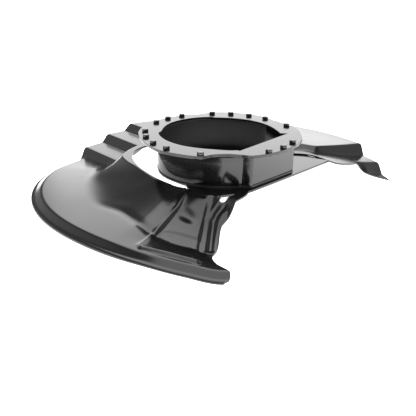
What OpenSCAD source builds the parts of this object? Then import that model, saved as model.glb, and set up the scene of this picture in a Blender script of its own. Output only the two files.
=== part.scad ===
// Pressed steel brake backing shield: flared shield panel, base plate, drawn collar and
// riveted flange ring. The origin is on the hub axis, in the lower face of the base plate.
// X runs to the right along the front, Y to the rear, Z up towards the flange ring.

/* [Base plate] */
// Thickness of the base plate
base_t = 2; // [1.5:0.1:3]
// Width of the ledge between the collar and the hub bore
bore_ledge = 16; // [13:0.5:24]
// Distance of the mounting holes from the inside of the collar
bolt_inset = 7; // [6:0.1:8.5]
// Radius of a mounting hole
bolt_r = 3.3; // [2.1:0.1:4.4]
// Number of mounting holes
bolt_count = 3; // [3:1:6]
// How far the straight calliper edge stands off the collar's flat side
chord_gap = 4.3; // [3:0.1:10]
// How far the straight edge runs to the front
chord_front = 27; // [20:1:34]
// How far the straight edge runs to the rear
chord_rear = 92; // [80:1:100]
// Overlap of the base plate under the shield panel
lap_w = 7; // [5:0.5:10]

/* [Collar] */
// Height of the collar from the base plate to the top of the flange ring
collar_h = 33.6; // [25:0.1:60]
// Outer radius of the collar wall
collar_r = 60.5; // [58:0.1:63]
// Thickness of the collar sheet
collar_t = 1.5; // [1:0.1:2.5]
// How far the lip that carries the rivets stays inside the ring's outline
lip_inset = 0.8; // [0.4:0.1:2]
// Width of the foot that is turned out on the base plate
foot_w = 0.5; // [0.3:0.1:4]
// Rounding radius of the collar's sharp corner
corner_r = 4; // [2:0.5:8]

/* [Flange ring] */
// Thickness of the flange ring
ring_t = 1.5; // [1:0.1:3]
// Distance of the rivets from the outside of the collar wall
rivet_gap = 11.5; // [8:0.1:14]
// Nominal distance from the rivets to the ring's outer edge
ring_edge = 5.8; // [5:0.1:10]
// How far the ring reaches in past the collar wall
opening_in = 3.5; // [2:0.1:6]
// How far the ring's straight side reaches in past the collar's flat side
opening_flat_in = 11.5; // [4:0.1:14]

/* [Rivets] */
// Radius of a rivet head
head_r = 3; // [2:0.1:4]
// Height of a rivet head
head_h = 2.5; // [1:0.1:6]
// Radius of a rivet shank
shank_r = 1.8; // [1:0.1:2.5]
// Height of the closing head under the lip
tail_h = 0.6; // [0.3:0.1:2]

/* [Shield panel] */
// Thickness of the shield sheet
sheet_t = 1.5; // [1:0.1:2.5]
// Outer radius of the shield
rim_r = 182; // [160:1:220]
// Depth of the rim below the hub plateau
rim_depth = 28.4; // [20:0.5:45]
// Height of the step down at the rim
rim_step = 4; // [2:0.5:8]
// Width of the rolled rim
rim_w = 11; // [6:0.5:14]
// Depth of the first rear step below the plateau
step_1 = 7.5; // [4:0.5:12]
// Depth of the second rear step below the plateau
step_2 = 15.8; // [10:0.5:20]
// Depth of the upper wing step at the rim
wing_1 = 15; // [8:0.5:20]
// Depth of the lower wing step at the rim
wing_2 = 25; // [18:0.5:32]
// How far the wing's top face stands above the plateau at the collar
wing_raise = 4.5; // [1:0.5:6]
// Clearance between the collar foot and the shield panel
hub_gap = 3; // [0.5:0.1:5]

/* [Hidden] */
$fn = 96;
sheet_black = [0.07, 0.07, 0.075];
rivet_black = [0.04, 0.04, 0.045];

flange_z = base_t + collar_h;
lip_z = flange_z - ring_t - collar_t;
plateau_z = base_t + sheet_t;
chord_a = -42.5;
hub_r = collar_r + foot_w + hub_gap;
collar_in_r = collar_r - collar_t;
bore_r = collar_in_r - bore_ledge;
bolt_circle_r = collar_in_r - bolt_inset;
chord_d = collar_r + chord_gap;
rivet_circle_r = collar_r + rivet_gap;
ring_r = rivet_circle_r + ring_edge;
cut = 1;

// ---- helpers -------------------------------------------------------------
function smooth(t) = let (s = min(1, max(0, t))) s * s * (3 - 2 * s);
function mix(a, b, t) = a + (b - a) * t;
function polar(r, a) = [r * cos(a), r * sin(a)];
function soft_max(a, b, k) = let (h = max(k - abs(a - b), 0) / k) max(a, b) + h * h * k / 4;
function bump(a, centre, width) = exp(-pow((a - centre) / width, 2));
// Smooth curve through a list of [position, value] pairs, held level outside them.
function slope_at(keys, i) = i == 0 || i == len(keys) - 1 ? 0 :
    (keys[i + 1][1] - keys[i - 1][1]) / (keys[i + 1][0] - keys[i - 1][0]);
function segment(x, keys, i = 0) = i >= len(keys) - 2 || x <= keys[i + 1][0] ? i :
    segment(x, keys, i + 1);
function curve(x, keys) = let (
        i = segment(x, keys),
        span = keys[i + 1][0] - keys[i][0],
        t = min(1, max(0, (x - keys[i][0]) / span)),
        rise = keys[i + 1][1] - keys[i][1])
    keys[i][1] + rise * t * t * (3 - 2 * t)
    + span * t * (1 - t) * (slope_at(keys, i) * (1 - t) - slope_at(keys, i + 1) * t);

// ---- outlines ------------------------------------------------------------
// The collar wall: a round drum with a flat towards the calliper and one sharp corner.
function collar_outline(off) = let (
        flat_d = collar_r + off,
        corner_c = polar(collar_r - corner_r, chord_a) + polar(36, chord_a + 90),
        front_c = polar(collar_r - corner_r, chord_a) + polar(-22, chord_a + 90),
        rear_a = 44)
    concat(
        [for (a = [chord_a : 6 : rear_a - 2]) corner_c + polar(corner_r + off, a)],
        [for (a = [rear_a : 3 : 360 + chord_a - 28]) polar(flat_d, a)],
        [for (a = [-28 : 7 : 0]) front_c + polar(corner_r + off, chord_a + a)]);

// Outer outline of the flange ring, with its lobes and the shallow scallops between them.
ring_keys = [[0, 0], [24, -1], [43, -3], [54, 1.5], [74, 3.5], [96, 2.5], [109, -4.2], [118, -1.8],
             [136, -1.4], [155, 0], [210, 0.4], [229, 1.8], [241, 0.4], [258, -1.6], [265, -8.4],
             [275, -11.2], [284, -8.2], [292, -2.6], [308, -1.8], [322, -1.4], [337, 0.4], [360, 0]];
// Radius of the opening in the ring, with its shallow lobes.
opening_keys = [[2, 0], [16, -1.2], [60, -0.1], [96, 0], [101, 2.6], [140, 2.6], [170, -0.2],
                [180, -0.2], [184, 1.8], [196, 1.2], [228, -1], [261, -3], [286, 0.2]];
opening_flat_a = -39;
function opening_radius(a) = a > 286 || a < 2 ?
    (collar_r - opening_flat_in) / cos(a - opening_flat_a) :
    collar_r - opening_in + curve(a, opening_keys);

module ring_outline(off = 0) {
    polygon([for (a = [0 : 2 : 358]) polar(ring_r + off + curve(a, ring_keys), a)]);
}
module opening_outline() {
    polygon([for (a = [0 : 2 : 358]) polar(opening_radius(a), a)]);
}

// ---- shield panel: a sheet over a polar grid ---------------------------------
rear_line_a = 43;    // direction across the left rear steps
wing_line_a = 123;   // direction across the wing steps
bell_a0 = 152;       // where the steps meet the bell
bell_a1 = 271;       // where the bell ends at the calliper gap

// Outer radius, drawn in a little on the front left.
function outer_r(a) = rim_r + 1.5 * bump(a, 172, 18) - 8.5 * bump(a, 232, 30);
// Height of the rim lip.
lift_keys = [[bell_a0, 0], [168, 3.2], [186, 5.4], [207, 6.8], [249, 6.6], [262, 3.6], [bell_a1, 0]];
function rim_z(a) = plateau_z - rim_depth + curve(a, lift_keys) - 0.05 * max(0, bell_a0 - a);
// Inner edge round the collar, widening into the crescent on the left.
inner_keys = [[30, 0], [112, 0], [138, 27], [156, 31], [168, 26], [182, 14], [198, 6.5], [224, 5],
              [240, 7], [262, 11], [269.8, 13], [271.2, 20.5], [276, 20.5], [277.6, 11], [288, 4]];
function inner_r(a) = hub_r + 2.5 + curve(a, inner_keys);
// Edge of the plateau, where the sheet turns down.
crest_keys = [[100, 42], [166, 38], [177, 28], [188, 17], [206, 10], [222, 9.5], [240, 8],
              [258, 15], [266, 18], [274, 21], [284, 40]];
function crest_r(a) = hub_r + curve(a, crest_keys);
// Foot of the slope, where the skirt begins.
foot_keys = [[120, 72], [186, 70], [213, 65], [225, 58], [236, 63], [248, 73], [256, 79], [268, 79]];
function foot_r(a) = hub_r + curve(a, foot_keys);

// Height of the bell: plateau, trumpet slope, nearly flat skirt, stepped rim. Towards the
// calliper gap the slope becomes straight and the skirt tips slightly inwards.
function bell_z(r, a) = let (
        out_r = outer_r(a),
        front = smooth((a - 238) / 14),
        skirt_z = rim_z(a) + rim_step + (0.03 - 0.07 * front) * (out_r - r),
        t = max(0, (r - crest_r(a)) / (foot_r(a) - crest_r(a))),
        slope = t >= 1 ? 0 : pow(1 - t, 1.9 - 0.6 * smooth((a - 190) / 35) + 0.3 * smooth((a - 244) / 6)),
        body = mix(skirt_z, plateau_z, min(1, slope)),
        edge = smooth((r - (out_r - rim_w)) / (rim_w * 0.85)))
    body - rim_step * edge;

// Azimuth of a straight step line that passes the hub axis at distance d.
function rear_line(d, r) = rear_line_a + acos(d / r);
function wing_line(d, r) = wing_line_a - acos(max(-1, d / r));
front_keys = [[73, 290], [94, 279], [101, 275.4], [109, 271.6], [135, 270], [148, 268.4],
              [158, 269.6], [170, 273], [177, 273], [182, 271.2]];
cut_keys = [[70, 34], [88, 27.6], [100, 22], [107, 16.5], [112, 13], [120, 10], [135, 12.2],
            [150, 15.5], [156, 13.8], [162, 12.6], [172, 12], [182, 11.5]];
function front_a(r) = curve(r, front_keys);
function cut_a(r) = curve(r, cut_keys);
function wing_a(d, r, k) = max(wing_line(d, r), cut_a(r) + k);

// Key columns: kind of line, its distance or place, and columns up to the next one.
COLS = [["front", 0, 38], ["rear", -57, 4], ["rear", -45, 3], ["rear", -21.5, 4],
        ["rear", -11.2, 3], ["rear", 10, 4], ["rear", 20.7, 16], ["wing", -7.2, 3],
        ["wing", -15, 3], ["wing", -40, 3], ["wing", -52, 3], ["cut", 0, 0]];
function key_a(k, r) = COLS[k][0] == "front" ? front_a(r) :
    COLS[k][0] == "rear" ? rear_line(COLS[k][1], r) :
    COLS[k][0] == "wing" ? wing_a(COLS[k][1], r, 1.2 * (11 - k)) : cut_a(r);
function wing_t(r) = smooth((r - 96) / (rim_r - 96)) * 0.4 + 0.6 * max(0, (r - 104) / (rim_r - 104));
// How much of the lower wing step has come in from the cut edge at radius r.
function tail_part(r) = smooth((r - 147) / 9);
function key_z(k, r, a) = let (
        low = -200,
        level = k <= 1 ? low : k <= 3 ? plateau_z - step_2 : k <= 5 ? plateau_z - step_1 :
            k == 6 ? plateau_z : k == 7 ? mix(plateau_z + wing_raise * smooth((r - 72) / 10),
                plateau_z - 3, wing_t(r)) :
            k <= 9 ? plateau_z - wing_1 * wing_t(r) :
            plateau_z - mix(wing_1, wing_2, tail_part(r)) * wing_t(r))
    k <= 5 ? soft_max(bell_z(r, a), level, 3) : level;

flat_cols = [for (k = [0 : len(COLS) - 2]) for (i = [0 : COLS[k][2] - 1]) [k, i / COLS[k][2]],
             [len(COLS) - 2, 1]];
function col_a(c, r) = mix(key_a(c[0], r), key_a(c[0] + 1, r), c[1]);
function col_z(c, r) = let (a = col_a(c, r))
    mix(key_z(c[0], r, a), key_z(c[0] + 1, r, a), smooth(c[1]));
// Rows are closer together at the plateau edge and at the rolled rim.
ROWS = [0, 0.04, 0.08, 0.12, 0.16, 0.2, 0.24, 0.28, 0.33, 0.38, 0.44, 0.5, 0.57, 0.65, 0.74, 0.83,
        0.905, 0.925, 0.945, 0.965, 0.986, 1];
function row_r(c, s) = mix(inner_r(col_a(c, 85)), outer_r(col_a(c, rim_r - 2)), s);

module shield_panel() {
    n = len(flat_cols);
    m = len(ROWS);
    top = [for (c = flat_cols) for (s = ROWS) let (r = row_r(c, s), a = col_a(c, r))
        [r * cos(a), r * sin(a), col_z(c, r)]];
    low = [for (p = top) [p[0], p[1], p[2] - sheet_t]];
    function id(i, j) = i * m + j;
    faces = concat(
        [for (i = [0 : n - 2]) for (j = [0 : m - 2]) each
            [[id(i, j), id(i + 1, j), id(i + 1, j + 1)], [id(i, j), id(i + 1, j + 1), id(i, j + 1)]]],
        [for (i = [0 : n - 2]) for (j = [0 : m - 2]) each
            [[n * m + id(i, j), n * m + id(i + 1, j + 1), n * m + id(i + 1, j)],
             [n * m + id(i, j), n * m + id(i, j + 1), n * m + id(i + 1, j + 1)]]],
        [for (i = [0 : n - 2]) each
            [[id(i, 0), n * m + id(i, 0), n * m + id(i + 1, 0)],
             [id(i, 0), n * m + id(i + 1, 0), id(i + 1, 0)],
             [id(i, m - 1), id(i + 1, m - 1), n * m + id(i + 1, m - 1)],
             [id(i, m - 1), n * m + id(i + 1, m - 1), n * m + id(i, m - 1)]]],
        [for (j = [0 : m - 2]) each
            [[id(0, j), id(0, j + 1), n * m + id(0, j + 1)],
             [id(0, j), n * m + id(0, j + 1), n * m + id(0, j)],
             [id(n - 1, j), n * m + id(n - 1, j), n * m + id(n - 1, j + 1)],
             [id(n - 1, j), n * m + id(n - 1, j + 1), id(n - 1, j + 1)]]]);
    color(sheet_black) polyhedron(points = concat(top, low), faces = faces, convexity = 8);
}

// ---- base plate ----------------------------------------------------------
base_keys = [[20, 35.5], [23, 31.5], [27, 27.5], [31, 23], [44, lap_w], [112, lap_w], [136, -6], [200, -6], [239, -6], [247, 3],
             [258, 11], [270, 12], [280, 9]];
module base_outline() {
    chord_m = polar(chord_d, chord_a);
    intersection() {
        polygon(concat(
            [chord_m + polar(-chord_front, chord_a + 90), chord_m + polar(chord_rear, chord_a + 90)],
            [for (a = [20 : 3 : 284]) polar(hub_r + 2.5 + curve(a, base_keys), a)]));
        circle(r = 140);
    }
}
module base_plate() {
    color(sheet_black) difference() {
        linear_extrude(height = base_t) base_outline();
        translate([0, 0, -cut]) cylinder(r = bore_r, h = base_t + 2 * cut);
        for (i = [0 : bolt_count - 1]) rotate([0, 0, 20 + i * 360 / bolt_count])
            translate([bolt_circle_r, 0, -cut]) cylinder(r = bolt_r, h = base_t + 2 * cut);
    }
}

// ---- collar --------------------------------------------------------------
module collar() {
    color(sheet_black) difference() {
        union() {
            translate([0, 0, base_t]) linear_extrude(height = collar_t)
                polygon(collar_outline(foot_w));
            translate([0, 0, base_t]) linear_extrude(height = lip_z - base_t + collar_t / 2)
                polygon(collar_outline(0));
            translate([0, 0, lip_z]) linear_extrude(height = collar_t) ring_outline(-lip_inset);
        }
        translate([0, 0, base_t - cut]) linear_extrude(height = collar_h + 2 * cut)
            polygon(collar_outline(-collar_t));
        rivet_holes();
    }
}

// ---- flange ring ---------------------------------------------------------
module flange_ring() {
    color(sheet_black) difference() {
        translate([0, 0, flange_z - ring_t]) linear_extrude(height = ring_t) difference() {
            ring_outline();
            opening_outline();
        }
        rivet_holes();
    }
}

// ---- rivets --------------------------------------------------------------
REAR_RIGHT = [50.1, 65.7, 81.5, 97.4];
REAR_LEFT = [124.5, 139.1, 154];
FRONT_LEFT = [180.9, 196.4, 213, 229.2];
FRONT = [256.7];
FRONT_RIGHT = [306.2, 321.5, 336.7];
RIGHT = [23.9];
module at_rivets(angles) {
    for (a = angles) rotate([0, 0, a]) translate([rivet_circle_r, 0, 0]) children();
}
module rivet_holes() {
    at_rivets(concat(REAR_RIGHT, REAR_LEFT, FRONT_LEFT, FRONT, FRONT_RIGHT, RIGHT))
        translate([0, 0, lip_z - cut]) cylinder(r = shank_r, h = ring_t + collar_t + 2 * cut);
}
module rivets(angles) {
    color(rivet_black) at_rivets(angles) {
        translate([0, 0, flange_z]) cylinder(r = head_r, h = head_h);
        translate([0, 0, lip_z - tail_h]) cylinder(r = shank_r, h = tail_h + flange_z - lip_z + cut);
        translate([0, 0, lip_z - tail_h]) cylinder(r = head_r * 0.9, h = tail_h);
    }
}

shield_panel();
base_plate();
collar();
flange_ring();
rivets(REAR_RIGHT);  // rivets_rear_right
rivets(REAR_LEFT);  // rivets_rear_left
rivets(FRONT_LEFT);  // rivets_front_left
rivets(FRONT);  // rivet_front
rivets(FRONT_RIGHT);  // rivets_front_right
rivets(RIGHT);  // rivet_right
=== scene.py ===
"""Brake backing shield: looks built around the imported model."""
import math

import bpy
import numpy as np
from mathutils import Matrix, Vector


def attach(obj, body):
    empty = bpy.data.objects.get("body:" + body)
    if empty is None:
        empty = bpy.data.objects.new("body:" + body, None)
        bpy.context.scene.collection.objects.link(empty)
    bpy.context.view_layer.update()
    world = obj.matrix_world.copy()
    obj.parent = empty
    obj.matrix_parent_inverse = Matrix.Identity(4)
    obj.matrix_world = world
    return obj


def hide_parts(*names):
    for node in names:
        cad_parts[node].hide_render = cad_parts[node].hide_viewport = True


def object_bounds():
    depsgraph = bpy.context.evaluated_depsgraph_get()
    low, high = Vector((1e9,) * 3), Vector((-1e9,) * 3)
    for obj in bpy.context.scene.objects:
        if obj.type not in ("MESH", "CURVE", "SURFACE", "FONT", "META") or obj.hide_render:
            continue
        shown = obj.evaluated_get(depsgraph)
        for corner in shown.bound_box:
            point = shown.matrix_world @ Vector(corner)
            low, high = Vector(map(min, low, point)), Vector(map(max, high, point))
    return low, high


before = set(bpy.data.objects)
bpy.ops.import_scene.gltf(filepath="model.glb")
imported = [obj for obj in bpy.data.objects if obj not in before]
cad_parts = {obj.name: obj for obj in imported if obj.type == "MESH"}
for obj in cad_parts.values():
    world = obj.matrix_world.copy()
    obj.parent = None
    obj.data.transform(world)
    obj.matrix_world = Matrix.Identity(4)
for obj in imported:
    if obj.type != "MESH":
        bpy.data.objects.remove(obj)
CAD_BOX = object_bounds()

bl_info = {
    "name": "Brake Backing Shield",
    "version": (1, 0, 0),
    "blender": (4, 5, 0),
    "location": "View3D > Sidebar > Shield",
    "description": "Builds a pressed steel brake backing shield on its packed frame",
    "category": "Object",
}

MM = 0.001

# Sizes of the metal parts, in millimetres, as in the part's own source.
BASE_T = 2.0
COLLAR_H = 33.6
COLLAR_R = 60.5
COLLAR_T = 1.5
LIP_INSET = 0.8
CORNER_R = 4.0
RING_T = 1.5
RING_R = 77.8
RIVET_CIRCLE_R = 72.0
HEAD_R = 3.0
HEAD_H = 2.5
SHANK_R = 1.8
SHEET_T = 1.5
RIM_R = 182.0
RIM_DEPTH = 28.4
RIM_STEP = 4.0
RIM_W = 11.0
STEP_1 = 7.5
STEP_2 = 15.8
WING_1 = 15.0
WING_2 = 25.0
WING_RAISE = 4.5
HUB_R = 64.0
# Azimuth of the collar's flat side, and how far the flat runs to each side of its middle.
CHORD_A = -42.5
FLAT_REAR = 36.0
FLAT_FRONT = 22.0

# Heights that follow from the sizes.
FLANGE_Z = BASE_T + COLLAR_H
LIP_Z = FLANGE_Z - RING_T - COLLAR_T
PLATEAU_Z = BASE_T + SHEET_T

# Gaps and roundings, in millimetres.
HUB_GAP = 2.5
SHEET_ROLL_W = 2.4
SHEET_ROLL = 1.5
LIP_EDGE = 0.3
LIP_FILLET = 3.0
MOUTH_FILLET = 2.0
FOOT_FILLET = 0.5
RING_EDGE = 0.25
HEAD_ROUND = 0.5
TAIL_R = 2.7
TAIL_H = 0.6

# Azimuths of the rivets, in degrees.
RIVETS = {
    "rivets_rear_right": [50.1, 65.7, 81.5, 97.4],
    "rivets_rear_left": [124.5, 139.1, 154.0],
    "rivets_front_left": [180.9, 196.4, 213.0, 229.2],
    "rivet_front": [256.7],
    "rivets_front_right": [306.2, 321.5, 336.7],
    "rivet_right": [23.9],
}


# ---- curves and rounding, all on whole arrays ------------------------------------------
def smooth(t):
    """Zero below 0, one above 1, and the cubic 3t^2 - 2t^3 between."""
    s = np.clip(t, 0.0, 1.0)
    return s * s * (3 - 2 * s)


def mix(a, b, t):
    """Straight blend from a to b as t goes from 0 to 1."""
    return a + (b - a) * t


def soft_max(a, b, k):
    """The larger of a and b, with the crease between them rounded over a width of k."""
    h = np.maximum(k - np.abs(a - b), 0.0) / k
    return np.maximum(a, b) + h * h * k / 4


def bump(a, centre, width):
    """A bell curve of height 1."""
    return np.exp(-(((a - centre) / width) ** 2))


def curve(x, keys):
    """Cubic through [position, value] pairs, with central slopes inside and level ends."""
    px, py = np.array(keys, float).T
    slope = np.zeros(len(px))
    slope[1:-1] = (py[2:] - py[:-2]) / (px[2:] - px[:-2])
    i = np.clip(np.searchsorted(px, x, side="left") - 1, 0, len(px) - 2)
    span = px[i + 1] - px[i]
    t = np.clip((x - px[i]) / span, 0.0, 1.0)
    rise = py[i + 1] - py[i]
    return (py[i] + rise * t * t * (3 - 2 * t)
            + span * t * (1 - t) * (slope[i] * (1 - t) - slope[i + 1] * t))


def soft_ramp(u, w):
    """max(0, u) with the corner replaced by a parabola that reaches w to each side."""
    return np.where(u <= -w, 0.0, np.where(u >= w, u, (u + w) ** 2 / (4 * w)))


def pressed(t, w=0.14):
    """A pressed step: 0 to 1 along a straight slope, with both bends rounded over 2w."""
    return (soft_ramp(t - w, w) - soft_ramp(t - 1 + w, w)) / (1 - 2 * w)


def polar(r, a):
    """Point at radius r and azimuth a, in degrees."""
    return np.stack([r * np.cos(np.radians(a)), r * np.sin(np.radians(a))], -1)


def distance(points, x, y):
    """Distance from each (x, y) to a chain of straight pieces."""
    pts = np.array(points, float)
    best = np.full(np.shape(x), 1e9)
    for p, q in zip(pts[:-1], pts[1:]):
        d = q - p
        t = np.clip(((x - p[0]) * d[0] + (y - p[1]) * d[1]) / (d @ d), 0, 1)
        best = np.minimum(best, np.hypot(x - p[0] - t * d[0], y - p[1] - t * d[1]))
    return best


def inside(points, x, y):
    """Signed distance to a closed outline: positive inside, negative outside."""
    pts = np.array(list(points) + [points[0]], float)
    odd = np.zeros(np.shape(x), bool)
    for p, q in zip(pts[:-1], pts[1:]):
        cross = (p[1] > y) != (q[1] > y)
        with np.errstate(divide="ignore", invalid="ignore"):
            at = (q[0] - p[0]) * (y - p[1]) / (q[1] - p[1]) + p[0]
        odd ^= cross & (x < at)
    return np.where(odd, 1, -1) * distance(pts, x, y)


# ---- outlines --------------------------------------------------------------------------
RING_KEYS = [[0, 0], [24, -1], [43, -3], [54, 1.5], [74, 3.5], [96, 2.5], [109, -4.2],
             [118, -1.8], [136, -1.4], [155, 0], [210, 0.4], [229, 1.8], [241, 0.4],
             [258, -1.6], [265, -8.4], [275, -11.2], [284, -8.2], [292, -2.6], [308, -1.8],
             [322, -1.4], [337, 0.4], [360, 0]]
OPENING_KEYS = [[2, 57], [16, 55.8], [60, 56.9], [96, 57], [101, 59.6], [140, 59.6],
                [170, 56.8], [180, 56.8], [184, 58.8], [196, 58.2], [228, 56], [261, 54],
                [286, 57.2]]


def ring_radius(a):
    """Outer edge of the flange ring at azimuth a: its nominal radius plus lobes and scallops."""
    return RING_R + curve(a % 360, RING_KEYS)


def opening_radius(a):
    """Edge of the ring's opening: a lobed circle closed by one straight side."""
    a = a % 360
    flat = 49 / np.cos(np.radians(a + 39))
    return np.where((a > 286) | (a < 2), flat, curve(a, OPENING_KEYS))


def collar_outline(n=720):
    """Radius of the collar wall at n even azimuths: a drum, a flat side and two round corners."""
    along_flat = polar(1, CHORD_A + 90)
    corner = polar(COLLAR_R - CORNER_R, CHORD_A)
    flat = polar(COLLAR_R, CHORD_A) + np.arange(-20, 33)[:, None] * along_flat
    pts = np.concatenate([
        corner + FLAT_REAR * along_flat + polar(CORNER_R, np.arange(CHORD_A, 43.1, 2.0)),
        polar(COLLAR_R, np.arange(44, 290, 0.5)),
        corner - FLAT_FRONT * along_flat + polar(CORNER_R, CHORD_A + np.arange(-28, 0.1, 2.0)),
        flat])
    angle = np.degrees(np.arctan2(pts[:, 1], pts[:, 0]))
    return np.interp(np.arange(n) * 360 / n, angle, np.hypot(pts[:, 0], pts[:, 1]), period=360)


# ---- the shield panel's surface ----------------------------------------------------------
# Directions square to the rear steps and to the wing's steps, and where the bell begins.
REAR_LINE_A, WING_LINE_A, BELL_A = 43.0, 123.0, 152.0
# Key curves: offsets or angles by azimuth, or by radius for FRONT, CUT and WING.
LIFT_KEYS = [[152, 0], [168, 3.2], [186, 5.4], [207, 6.8], [249, 6.6], [262, 3.6], [271, 0]]
INNER_KEYS = [[30, 0], [112, 0], [138, 27], [156, 31], [168, 26], [182, 14], [198, 6.5],
              [224, 5], [240, 7], [262, 11], [269.8, 13], [271.2, 20.5], [276, 20.5],
              [277.6, 11], [288, 4]]
CREST_KEYS = [[100, 106], [166, 102], [177, 92], [188, 81], [206, 74], [222, 73.5], [240, 72],
              [258, 79], [266, 82], [274, 85], [284, 104]]
FOOT_KEYS = [[120, 136], [186, 134], [213, 129], [225, 122], [236, 127], [248, 137], [256, 143],
             [268, 143]]
FRONT_KEYS = [[73, 290], [94, 279], [101, 275.4], [109, 271.6], [135, 270], [148, 268.4],
              [158, 269.6], [170, 273], [177, 273], [182, 271.2]]
CUT_KEYS = [[70, 34], [88, 27.6], [100, 22], [107, 16.5], [112, 13], [120, 10], [135, 12.2],
            [150, 15.5], [156, 13.8], [162, 12.6], [172, 12], [182, 11.5]]
WING_TOP_KEYS = [[92, 14], [104, 9], [112, -3], [119, -7.2], [182, -7.6]]
WING_FOOT_KEYS = [[90, 9], [97, 2], [104, -7], [112, -13], [124, -16], [182, -16]]


def outer_r(a):
    """Outer radius of the panel, drawn in a little on the front left."""
    return RIM_R + 1.5 * bump(a, 172, 18) - 8.5 * bump(a, 232, 30)


def inner_r(a):
    """Inner edge round the collar, widening into the crescent on the left."""
    return HUB_R + HUB_GAP + curve(a, INNER_KEYS)


def rim_z(a):
    """Height of the rim lip."""
    return (PLATEAU_Z - RIM_DEPTH + curve(a, LIFT_KEYS)
            - 0.05 * np.maximum(0, BELL_A - a))


def bell_z(r, a):
    """Plateau, then a trumpet slope (1 - t)^power, then a nearly flat skirt and a stepped rim.

    t runs from 0 at the crest to 1 at the foot. Towards the calliper gap the skirt tips
    slightly inwards. A shallow channel runs along the foot of the slope."""
    out = outer_r(a)
    front = smooth((a - 238) / 14)
    power = 1.9 - 0.6 * smooth((a - 190) / 35) + 0.3 * smooth((a - 244) / 6)
    skirt = rim_z(a) + RIM_STEP + (0.03 - 0.07 * front) * (out - r)
    crest, foot = curve(a, CREST_KEYS), curve(a, FOOT_KEYS)
    t = np.clip((r - crest) / (foot - crest), 0, 1)
    body = mix(skirt, PLATEAU_Z, (1 - t) ** power)
    channel = 0.5 * bump(r, foot - 2, 5) * smooth((a - 205) / 22)
    step = RIM_STEP * pressed((r - (out - RIM_W)) / (RIM_W * 0.85), 0.16)
    return body - channel - step


def line_a(base, d, r, sign):
    """Azimuth at radius r of the straight line that passes the hub axis at distance d."""
    return base + sign * np.degrees(np.arccos(np.clip(d / r, -1, 1)))


def cut_a(r):
    """Azimuth of the wing's cut edge."""
    return curve(r, CUT_KEYS)


# Key columns of the panel's grid, round the hub: kind, value, grid steps up to the next key.
# The value is an azimuth for mid, and a straight line's distance from the hub axis otherwise.
COLUMNS = [("front", 0, 128), ("mid", 236, 66), ("rear", -57, 14), ("rear", -45, 6),
           ("rear", -21.5, 14), ("rear", -11.2, 6), ("rear", 10, 14), ("rear", 20.7, 60),
           ("wing_top", 0, 14), ("wing_foot", 0, 7), ("wing", -40, 14), ("wing", -52, 8),
           ("cut", 0, 0)]
REAR_FIRST = 2      # first key column behind the front panel
WING_FIRST = 7      # last key column of the rear steps, where the wing begins
CUT_COLUMN = len(COLUMNS) - 1


def column_a(k, r):
    """Azimuth of key column k at radius r."""
    kind, value, _ = COLUMNS[k]
    if kind == "front":
        return curve(r, FRONT_KEYS)
    if kind == "mid":
        return np.full(np.shape(r), float(value))
    if kind == "rear":
        return line_a(REAR_LINE_A, value, r, 1)
    if kind == "cut":
        return cut_a(r)
    d = (curve(r, WING_TOP_KEYS) if kind == "wing_top" else
         curve(r, WING_FOOT_KEYS) if kind == "wing_foot" else value)
    # columns that would pass the cut edge stop beside it, 1.2 degrees apart
    return np.maximum(line_a(WING_LINE_A, d, r, -1), cut_a(r) + 1.2 * (CUT_COLUMN - k))


def wing_t(r):
    """How far the wing has dropped between the collar, 0, and the rim, 1."""
    return smooth((r - 96) / (RIM_R - 96)) * 0.4 + 0.6 * np.maximum(0, (r - 104) / (RIM_R - 104))


def stair_z(r, a):
    """The rear steps: levels joined by pressed slopes across straight lines, met by the bell."""
    u = r * np.cos(np.radians(a - REAR_LINE_A))
    stair = (PLATEAU_Z - STEP_2
             - 14 * (1 - pressed((u + 57) / 12)) + 3 * np.minimum(0, u + 57)
             + (STEP_2 - STEP_1) * pressed((u + 21.5) / 10.3)
             + STEP_1 * pressed((u - 10) / 10.7))
    return soft_max(bell_z(r, a), stair, 3.0)


def wing_z(c, r):
    """The wing: three levels, each sloping to the rim, joined by pressed steps along columns.

    c counts key columns from the first of all; the lower step fades out towards the hub."""
    drop = wing_t(r)
    top = mix(PLATEAU_Z + WING_RAISE * smooth((r - 72) / 10), PLATEAU_Z - 3, drop)
    tread = PLATEAU_Z - WING_1 * drop
    tail = PLATEAU_Z - mix(WING_1, WING_2, smooth((r - 147) / 9)) * drop
    along = c - WING_FIRST
    raised = mix(PLATEAU_Z, top, smooth(along))
    return (raised + (tread - raised) * pressed(along - 1)
            + (tail - tread) * pressed(along - 3))


# Outlines and centre lines of the front panel's small pressings, in plan.
PANEL_PLATE = [(-27.5, -75), (-9.5, -83.5), (-14.4, -128.7), (-44.5, -118.8), (-41.4, -109.7),
               (-36.4, -99.1), (-31.2, -88.2)]
PANEL_FOLD = [(-29, -73), (-35, -90), (-39.8, -98.5), (-42.6, -104.3), (-50.5, -120.4),
              (-56.3, -135.4), (-61, -145)]
PANEL_BAR = [(-58, -149), (-15.5, -161.5)]
PANEL_GROOVE = [(-5.5, -84), (-8.5, -105), (-12.5, -129), (-13.5, -149)]
PANEL_LOOP = [(6, -89.6), (-1.2, -97.4), (-3.8, -104.4), (-5.4, -119), (-6.2, -131),
              (-6.4, -137)]
DIMPLE = (-25.6, -101.0)


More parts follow.
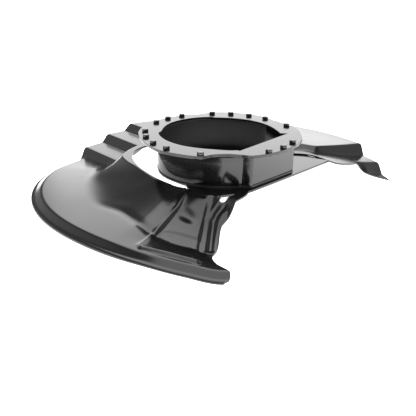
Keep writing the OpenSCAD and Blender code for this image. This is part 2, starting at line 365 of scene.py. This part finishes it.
def pressings(x, y):
    """Height added by the small pressings of the front panel, as functions of distance.

    The fold is a crease: it falls away slowly towards the bell and quickly towards the plate."""
    z = 0.7 * smooth(inside(PANEL_PLATE, x, y) / 4.0 + 0.3)
    fold = distance(PANEL_FOLD, x, y)
    fold_x, fold_y = np.array(PANEL_FOLD[::-1]).T
    bell_side = x < np.interp(y, fold_y, fold_x)
    z += 0.7 * bump(fold, 0.0, 2.4)
    z += 1.7 * smooth((y + 138) / 30) * np.where(bell_side, np.exp(-fold / 11.0),
                                                 bump(fold, 0.0, 3.2))
    z += 2.0 * (1 - smooth((distance(PANEL_BAR, x, y) - 1.2) / 2.8))
    z -= bump(distance(PANEL_GROOVE, x, y), 0.0, 3.2)
    loop = distance(PANEL_LOOP, x, y)
    z += 0.7 * bump(loop, 5.0, 2.3) - 1.1 * bump(loop, 0.0, 2.3)
    dx, dy = x - DIMPLE[0], y - DIMPLE[1]
    z -= 1 - smooth(np.hypot((dx + 0.4 * dy) / 10.0, dy / 12.0))
    return z


def panel_grid():
    """Position of every grid point of the panel's top face.

    c counts key columns round the hub, s runs from the inner edge, 0, to the rim, 1."""
    c = np.concatenate([k + np.arange(n) / n for k, (_, _, n) in enumerate(COLUMNS[:-1])]
                       + [[float(CUT_COLUMN)]])
    s = np.concatenate([np.linspace(0, 0.02, 5)[:-1], np.linspace(0.02, 0.9, 84)[:-1],
                        np.linspace(0.9, 1.0, 31)])
    k = np.minimum(np.floor(c).astype(int), CUT_COLUMN - 1)
    f = c - k

    def azimuth(r):
        """Azimuth of every column at the radii r, one row of r for each column."""
        keys = np.stack([column_a(i, r) for i in range(len(COLUMNS))])
        col = np.arange(len(c))
        return mix(keys[k, col], keys[k + 1, col], f[:, None])

    near = azimuth(np.full((len(c), 1), 85.0))
    far = azimuth(np.full((len(c), 1), RIM_R - 2))
    r = mix(inner_r(near), outer_r(far), s[None, :])
    a = azimuth(r)
    cc = np.broadcast_to(c[:, None], r.shape)
    xy = polar(r, a)
    z = np.where(cc < WING_FIRST, stair_z(r, a), wing_z(np.maximum(cc, WING_FIRST), r))
    z = z + pressings(xy[..., 0], xy[..., 1]) * (cc < REAR_FIRST)
    roll = np.clip(1 - (outer_r(a) - r) / SHEET_ROLL_W, 0, 1)
    z = z - SHEET_ROLL * (1 - np.sqrt(1 - 0.96 * roll ** 2))
    return np.concatenate([xy, z[..., None]], -1)


# ---- meshes --------------------------------------------------------------------------------
def mesh_object(name, verts, faces, sharp=40):
    """A smooth mesh from points, in millimetres, and faces, with edges above sharp degrees."""
    me = bpy.data.meshes.new(name)
    verts = np.asarray(verts, float).reshape(-1, 3) * MM
    me.from_pydata(verts.tolist(), [], faces)
    me.update()
    me.shade_smooth()
    me.set_sharp_from_angle(angle=math.radians(sharp))
    ob = bpy.data.objects.new(name, me)
    bpy.context.scene.collection.objects.link(ob)
    return ob


def band(i, j, closed_i, closed_j):
    """Quads between neighbouring points of an i by j grid, closed round either way or open."""
    ids = np.arange(i * j).reshape(i, j)
    if closed_i:
        ids = np.concatenate([ids, ids[:1]], 0)
    if closed_j:
        ids = np.concatenate([ids, ids[:, :1]], 1)
    return np.stack([ids[:-1, :-1], ids[1:, :-1], ids[1:, 1:], ids[:-1, 1:]], -1).reshape(-1, 4)


def sheet_mesh(name, top, thick):
    """A pressed sheet: the top face, the same face lowered by thick, and square edges between."""
    n, m, _ = top.shape
    low = top - np.array([0, 0, thick])
    upper = band(n, m, False, False)
    lower = upper[:, ::-1] + n * m
    ids = np.arange(n * m).reshape(n, m)
    ring = np.concatenate([ids[:-1, 0], ids[-1, :-1], ids[:0:-1, -1], ids[0, :0:-1]])
    nxt = np.roll(ring, -1)
    sides = np.stack([ring, ring + n * m, nxt + n * m, nxt], -1)
    return mesh_object(name, np.stack([top, low]),
                       np.concatenate([upper, lower, sides]).tolist(), sharp=50)


def lathe(radii, heights):
    """Points of a profile carried round an axis: radii n azimuths by m, heights m or n by m."""
    a = np.arange(len(radii)) * 360 / len(radii)
    z = np.broadcast_to(heights, radii.shape)[..., None]
    return np.concatenate([polar(radii, a[:, None]), z], -1)


def ring_sweep(name, profile):
    """A ring about the hub axis from a closed profile, a list of (radius, height) pairs.

    A radius or a height is one number, or a column with one row for each azimuth."""
    n = max(np.size(r) for r, _ in profile)
    radii, heights = (np.concatenate([np.broadcast_to(pair[i], (n, 1)) for pair in profile], 1)
                      for i in (0, 1))
    faces = band(n, len(profile), True, True).tolist()
    return mesh_object(name, lathe(radii, heights), faces)


# ---- shader helpers ------------------------------------------------------------------------
class Sock:
    """A number socket: arithmetic on it adds Math nodes."""

    def __init__(self, graph, out):
        self.graph, self.out = graph, out

    def _do(self, operation, other, clamp=False):
        return self.graph.add("ShaderNodeMath", {"operation": operation, "use_clamp": clamp},
                              {0: self, 1: other})

    def __add__(self, other):
        return self._do("ADD", other)

    def __mul__(self, other):
        return self._do("MULTIPLY", other)

    def clamped(self):
        """The value held between 0 and 1."""
        return self._do("ADD", 0.0, True)

    __radd__, __rmul__ = __add__, __mul__


class Graph:
    """A node tree and the means to add to it."""

    def __init__(self, tree):
        self.tree = tree

    def put(self, socket, value):
        """Gives a socket a value or a link."""
        if isinstance(value, Sock):
            self.tree.links.new(value.out, socket)
        else:
            socket.default_value = value

    def add(self, kind, settings, values, out=0):
        """A node with its settings made first, then its sockets filled; returns an output."""
        node = self.tree.nodes.new(kind)
        for key, value in settings.items():
            if key == "stops":
                ramp = node.color_ramp.elements
                for i, (at, grey) in enumerate(value):
                    stop = ramp[i] if i < len(ramp) else ramp.new(at)
                    stop.position, stop.color = at, (grey, grey, grey, 1)
            else:
                setattr(node, key, value)
        for key, value in values.items():
            self.put(node.inputs[key], value)
        return Sock(self, node.outputs[out])


class Look(Graph):
    """A node material with one Principled shader."""

    def __init__(self, name):
        self.mat = bpy.data.materials.new(name)
        self.mat.use_nodes = True
        super().__init__(self.mat.node_tree)
        self.shader = self.tree.nodes["Principled BSDF"]
        self.place = self.add("ShaderNodeTexCoord", {}, {}, "Object")

    def noise(self, scale, detail):
        """Noise between 0 and 1 over the piece's own coordinates."""
        return self.add("ShaderNodeTexNoise", {},
                        {"Vector": self.place, "Scale": scale, "Detail": detail})

    def tint(self, amount, low, high):
        """A colour between low and high."""
        return self.add("ShaderNodeMix", {"data_type": "RGBA"}, {0: amount, 6: low, 7: high}, 2)

    def set(self, **values):
        """Fills the Principled shader's sockets by name."""
        for key, value in values.items():
            self.put(self.shader.inputs[key.replace("_", " ")], value)


def gloss_coat(name, base, rough, peel, dull_r=0.0):
    """Baked gloss black paint on steel: slight colour drift, uneven sheen and fine orange peel.

    Nearer to the hub axis than dull_r, in metres, the paint is a thin dull coat."""
    look = Look(name)
    tint = look.tint(look.noise(18.0, 4.0).clamped(), (base * 0.82, base * 0.82, base * 0.85, 1),
                     (base * 1.2, base * 1.2, base * 1.24, 1))
    sheen = look.noise(55.0, 5.0) * (rough * 0.5) + rough * 0.75
    if dull_r:
        flat = look.add("ShaderNodeVectorMath", {"operation": "MULTIPLY"},
                        {0: look.place, 1: (1.0, 1.0, 0.0)})
        from_axis = look.add("ShaderNodeVectorMath", {"operation": "LENGTH"}, {0: flat}, "Value")
        inner = look.add("ShaderNodeMapRange", {},
                         {0: from_axis, 1: dull_r - 0.0005, 2: dull_r, 3: 0.4, 4: 0.0})
        sheen = sheen + inner
    skin = look.noise(420.0, 2.0) + look.noise(140.0, 2.0) * 1.6
    bumps = look.add("ShaderNodeBump", {}, {"Strength": 1.0, "Distance": peel, "Height": skin},
                     "Normal")
    look.set(Base_Color=tint, Roughness=sheen.clamped(), Metallic=0.0, IOR=1.55, Normal=bumps)
    return look.mat


# Glow of the floor by distance from the hub axis, in metres: none under the part and less near it,
# a painted shadow, and evenly bright further out.
FLOOR_GLOW_SHADOW_STOPS = [(0.0, 0.0), (0.03, 0.0), (0.048, 0.52), (0.13, 0.6), (0.2, 1.0), (1.0, 1.0)]
# Brightness of the sweep of light that rises behind and passes overhead, by direction from
# the front, 0, over the top, 0.5, to the rear, 1.
ROOM_STOPS = [(0.0, 0.0), (0.15, 0.06), (0.24, 0.5), (0.32, 0.85), (0.5, 0.85), (0.63, 0.8),
              (0.75, 1.0), (1.0, 1.0)]
# The floor's half width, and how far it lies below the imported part, in millimetres: the rolled
# rim of the looks hangs a little lower than the solid's.
FLOOR_HALF = 30000.0
FLOOR_DROP = 1.3
# The overhead light's height and width, in metres.
LIGHT_Z = 2.6
LIGHT_W = 3.0
# The camera's place, in metres, and its directions.
CAMERA_PLACE = (0, -0.57148, 0.19814)
CAMERA_RIGHT = (0.99958889, 0.02484746, 0.01430593)
CAMERA_DOWN = (0.02284094, -0.38850969, -0.9211615)
CAMERA_AHEAD = (-0.01733054, 0.92110956, -0.3889175)


# ---- settings and operators ----------------------------------------------------------------
class ShieldCoat(bpy.types.PropertyGroup):
    """Finish of the metal."""
    base: bpy.props.FloatProperty(name="Base grey", description="Lightness of the paint",
                                  default=0.005, min=0.0, max=0.2, subtype="FACTOR")
    rough: bpy.props.FloatProperty(name="Roughness", description="Sharpness of the gloss",
                                   default=0.16, min=0.0, max=1.0, subtype="FACTOR")
    peel: bpy.props.FloatProperty(name="Orange peel", description="Depth of the paint's texture",
                                  default=0.000005, min=0.0, max=0.001, subtype="DISTANCE",
                                  unit="LENGTH", precision=6)


class ShieldStage(bpy.types.PropertyGroup):
    """Camera and light."""
    back: bpy.props.FloatProperty(name="Back light", description="Radiance of the rear backdrop",
                                  default=2.3, min=0.0, max=50.0)
    floor: bpy.props.FloatProperty(name="Floor glow", description="Radiance of the lit floor",
                                   default=2.0, min=0.0, max=20.0)
    top: bpy.props.FloatProperty(name="Overhead light", description="Power of the overhead light",
                                 default=50.0, min=0.0, max=5000.0, unit="POWER")
    fill: bpy.props.FloatProperty(name="Fill", description="Radiance of the room",
                                  default=0.2, min=0.0, max=10.0)
    width: bpy.props.FloatProperty(name="Light width", description="Half width of the light sweep",
                                   default=0.26, min=0.0, max=1.0, subtype="FACTOR")
    side: bpy.props.FloatProperty(name="Side light", description="Radiance of the room's sides",
                                  default=0.45, min=0.0, max=10.0)
    lens: bpy.props.FloatProperty(name="Lens", description="Focal length on a 36 mm sensor",
                                  default=53.28, min=10.0, max=300.0, subtype="DISTANCE_CAMERA",
                                  unit="CAMERA")


def finished(ob, nodes, material):
    """Gives a piece its body, the nodes it stands for and its material."""
    ob.data.materials.append(material)
    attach(ob, "root")
    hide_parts(*nodes)


class SHIELD_OT_panel(bpy.types.Operator):
    """Build the pressed shield panel"""
    bl_idname = "shield.panel"
    bl_label = "Shield panel"

    def execute(self, context):
        """The panel's grid surface, thickened."""
        coat = context.scene.shield_coat
        ob = sheet_mesh("shield_panel_sheet", panel_grid(), SHEET_T)
        finished(ob, ["shield_panel"],
                 gloss_coat("gloss_black_panel", coat.base, coat.rough, coat.peel))
        return {"FINISHED"}


class SHIELD_OT_collar(bpy.types.Operator):
    """Build the drawn collar"""
    bl_idname = "shield.collar"
    bl_label = "Collar"

    def execute(self, context):
        """A closed profile round the collar: wall with draft, fillets, lip and foot."""
        coat = context.scene.shield_coat
        wall = collar_outline()[:, None]
        inner = wall - COLLAR_T
        a = np.arange(len(wall))[:, None] * 360 / len(wall)
        edge = ring_radius(a) - LIP_INSET
        fillet = np.minimum(LIP_FILLET, np.maximum(edge - wall, 0.2) * 0.9)
        turn = np.radians(np.linspace(0, 90, 7))
        top, foot = LIP_Z + COLLAR_T, FOOT_FILLET
        # the lip's edge, the fillet under it, the wall's outside, its foot, and back up inside
        profile = [(edge - LIP_EDGE, top), (edge, top - LIP_EDGE), (edge, LIP_Z + LIP_EDGE),
                   (edge - LIP_EDGE, LIP_Z)]
        profile += [(wall + 0.4 + fillet * (1 - np.sin(v)), LIP_Z - fillet * (1 - np.cos(v)))
                    for v in turn]
        profile += [(wall + 0.2, LIP_Z - 8), (wall - 0.1, BASE_T + 10)]
        profile += [(wall - 0.3 + foot * (1 - np.cos(v)), BASE_T + 1 + foot * (1 - np.sin(v)))
                    for v in turn]
        profile += [(wall + foot - 0.2, BASE_T + 0.5), (wall + foot, BASE_T),
                    (inner + 0.2, BASE_T), (inner, BASE_T + 2), (inner, BASE_T + 10),
                    (inner, LIP_Z - 6)]
        profile += [(inner + MOUTH_FILLET * (1 - np.sin(v)), top - MOUTH_FILLET * (1 - np.cos(v)))
                    for v in turn[::-1]]
        ob = ring_sweep("collar_wall", profile[::-1])
        finished(ob, ["collar"],
                 gloss_coat("gloss_black_collar", coat.base * 0.8, coat.rough * 0.8,
                            coat.peel * 0.4, (COLLAR_R - 0.5) * MM))
        return {"FINISHED"}


class SHIELD_OT_ring(bpy.types.Operator):
    """Build the flange ring"""
    bl_idname = "shield.ring"
    bl_label = "Flange ring"

    def execute(self, context):
        """A flat ring between its lobed outline and its opening, with eased edges."""
        coat = context.scene.shield_coat
        a = np.arange(720)[:, None] * 0.5
        out, hole = ring_radius(a), opening_radius(a)
        top, low, e = FLANGE_Z, FLANGE_Z - RING_T, RING_EDGE
        ob = ring_sweep("flange_ring_plate",
                        [(hole + e, top), (hole, top - e), (hole, low + e), (hole + e, low),
                         (out - e, low), (out, low + e), (out, top - e), (out - e, top)])
        finished(ob, ["flange_ring"],
                 gloss_coat("gloss_black_ring", coat.base, coat.rough, coat.peel * 0.6))
        return {"FINISHED"}


class SHIELD_OT_rivets(bpy.types.Operator):
    """Build the rivets"""
    bl_idname = "shield.rivets"
    bl_label = "Rivets"

    def execute(self, context):
        """Each rivet is a lathe profile: head with a rounded edge, shank and closing head."""
        coat = context.scene.shield_coat
        look = gloss_coat("gloss_black_rivet", coat.base * 0.8, coat.rough * 1.5, coat.peel)
        turn = np.radians(np.linspace(0, 90, 5))
        top, tail = FLANGE_Z + HEAD_H, LIP_Z - TAIL_H
        profile = [(0.01, top)]
        profile += [(HEAD_R - HEAD_ROUND * (1 - np.sin(v)), top - HEAD_ROUND * (1 - np.cos(v)))
                    for v in turn]
        profile += [(HEAD_R, FLANGE_Z), (SHANK_R, FLANGE_Z), (SHANK_R, LIP_Z), (TAIL_R, LIP_Z),
                    (TAIL_R, tail), (0.01, tail)]
        radii, heights = np.array(profile[::-1]).T
        n, m = 32, len(profile)
        one = lathe(np.broadcast_to(radii, (n, m)), heights).reshape(-1, 3)
        faces = (band(n, m, True, False).tolist()
                 + [[i * m for i in range(n)][::-1], [i * m + m - 1 for i in range(n)]])
        for name, angles in RIVETS.items():
            verts = [one + np.append(polar(RIVET_CIRCLE_R, a), 0) for a in angles]
            moved = [[v + i * n * m for v in face] for i in range(len(angles)) for face in faces]
            finished(mesh_object(name + "_heads", verts, moved), [name], look)
        return {"FINISHED"}


class SHIELD_OT_base(bpy.types.Operator):
    """Paint the base plate"""
    bl_idname = "shield.base"
    bl_label = "Base plate"

    def execute(self, context):
        """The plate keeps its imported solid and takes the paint."""
        coat = context.scene.shield_coat
        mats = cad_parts["base_plate"].data.materials
        mats.clear()
        mats.append(gloss_coat("gloss_black_plate", coat.base, coat.rough, coat.peel))
        return {"FINISHED"}


class SHIELD_OT_stage(bpy.types.Operator):
    """Set up floor, light and camera"""
    bl_idname = "shield.stage"
    bl_label = "Stage"

    def execute(self, context):
        """A pale floor, a soft light overhead, the room's glow and the camera."""
        s = context.scene.shield_stage
        scene = context.scene
        low, c = CAD_BOX[0][2] / MM - FLOOR_DROP, FLOOR_HALF
        floor = mesh_object("studio_floor", [(-c, -c, low), (c, -c, low), (c, c, low),
                                             (-c, c, low)], [(0, 1, 2, 3)])
        floor.data.materials.append(self.floor_look(s))

        data = bpy.data.lights.new("overhead_soft_light", "AREA")
        data.shape, data.size, data.energy = "DISK", LIGHT_W, s.top
        lamp = bpy.data.objects.new("overhead_soft_light", data)
        lamp.location, lamp.visible_glossy = (0, 0, LIGHT_Z), False
        scene.collection.objects.link(lamp)

        scene.world = self.room(s)
        scene.view_settings.view_transform = "Standard"

        cam = bpy.data.cameras.new("camera")
        cam.lens, cam.sensor_width, cam.clip_start = s.lens, 36.0, 0.01
        ob = bpy.data.objects.new("camera", cam)
        rows = zip(CAMERA_RIGHT, CAMERA_DOWN, CAMERA_AHEAD, CAMERA_PLACE)
        ob.matrix_world = Matrix([[right, -down, -ahead, place]
                                  for right, down, ahead, place in rows] + [[0, 0, 0, 1]])
        scene.collection.objects.link(ob)
        scene.camera = ob
        return {"FINISHED"}

    def floor_look(self, s):
        """A pale dull floor that glows, with a painted shadow: less glow near and under the part.
        """
        look = Look("pale_floor")
        grey = look.noise(3.0, 2.0) * 0.02
        away = look.add("ShaderNodeVectorMath", {"operation": "LENGTH"}, {0: look.place}, "Value")
        # the glow drops to nothing under the part and is dimmer near it: a painted shadow on the
        # floor
        look.set(Base_Color=look.tint(grey, (0.92, 0.92, 0.92, 1), (0.8, 0.8, 0.8, 1)),
                 Roughness=1.0, Specular_IOR_Level=0.0, Emission_Strength=s.floor,
                 Emission_Color=look.add("ShaderNodeValToRGB", {"stops": FLOOR_GLOW_SHADOW_STOPS}, {0: away}))
        return look.mat

    def room(self, s):
        """The room: a sweep of light from the rear to overhead, dim sides and an even fill.

        x, y and z are the parts of the direction looked in. The sweep fades out beyond
        s.width of x, and the side light comes in further out."""
        world = bpy.data.worlds.new("studio_room")
        world.use_nodes = True
        graph = Graph(world.node_tree)
        way = graph.add("ShaderNodeTexCoord", {}, {}, "Generated")
        x, y, z = (graph.add("ShaderNodeSeparateXYZ", {}, {0: way}, i) for i in range(3))
        rise = graph.add("ShaderNodeValToRGB", {"stops": ROOM_STOPS}, {0: y * 0.5 + 0.5})
        wide = graph.add("ShaderNodeMath", {"operation": "ABSOLUTE"}, {0: x})
        sweep = graph.add("ShaderNodeMapRange", {"interpolation_type": "SMOOTHSTEP"},
                          {0: wide, 1: s.width, 2: s.width + 0.09, 3: 1.0, 4: 0.0})
        up = graph.add("ShaderNodeMapRange", {}, {0: z, 1: 0.0, 2: 0.15, 3: 0.8, 4: 1.0})
        side = graph.add("ShaderNodeMapRange", {"interpolation_type": "SMOOTHSTEP"},
                         {0: wide, 1: 0.4, 2: 0.75, 3: 0.0, 4: 1.0})
        background = world.node_tree.nodes["Background"].inputs
        background["Color"].default_value = (1, 1, 1, 1)
        graph.put(background["Strength"],
                  rise * sweep * up * s.back + side * s.side + s.fill)
        return world


class SHIELD_PT_panel(bpy.types.Panel):
    """Lists the pieces and their settings"""
    bl_label = "Brake backing shield"
    bl_idname = "SHIELD_PT_panel"
    bl_space_type = "VIEW_3D"
    bl_region_type = "UI"
    bl_category = "Shield"

    def draw(self, context):
        """One button a piece, then the settings."""
        for op in OPERATORS:
            self.layout.operator(op.bl_idname)
        for group in (context.scene.shield_coat, context.scene.shield_stage):
            for key in group.__annotations__:
                self.layout.prop(group, key)


OPERATORS = (SHIELD_OT_stage, SHIELD_OT_panel, SHIELD_OT_base, SHIELD_OT_collar, SHIELD_OT_ring,
             SHIELD_OT_rivets)
CLASSES = (ShieldCoat, ShieldStage, *OPERATORS, SHIELD_PT_panel)


def register():
    """Adds the classes and the scene's settings."""
    for cls in CLASSES:
        bpy.utils.register_class(cls)
    bpy.types.Scene.shield_coat = bpy.props.PointerProperty(type=ShieldCoat)
    bpy.types.Scene.shield_stage = bpy.props.PointerProperty(type=ShieldStage)


def unregister():
    """Takes them out again."""
    del bpy.types.Scene.shield_stage, bpy.types.Scene.shield_coat
    for cls in reversed(CLASSES):
        bpy.utils.unregister_class(cls)


def main():
    """Builds every piece in order."""
    register()
    for op in OPERATORS:
        group, name = op.bl_idname.split(".")
        getattr(getattr(bpy.ops, group), name)()


if __name__ == "__main__":
    main()
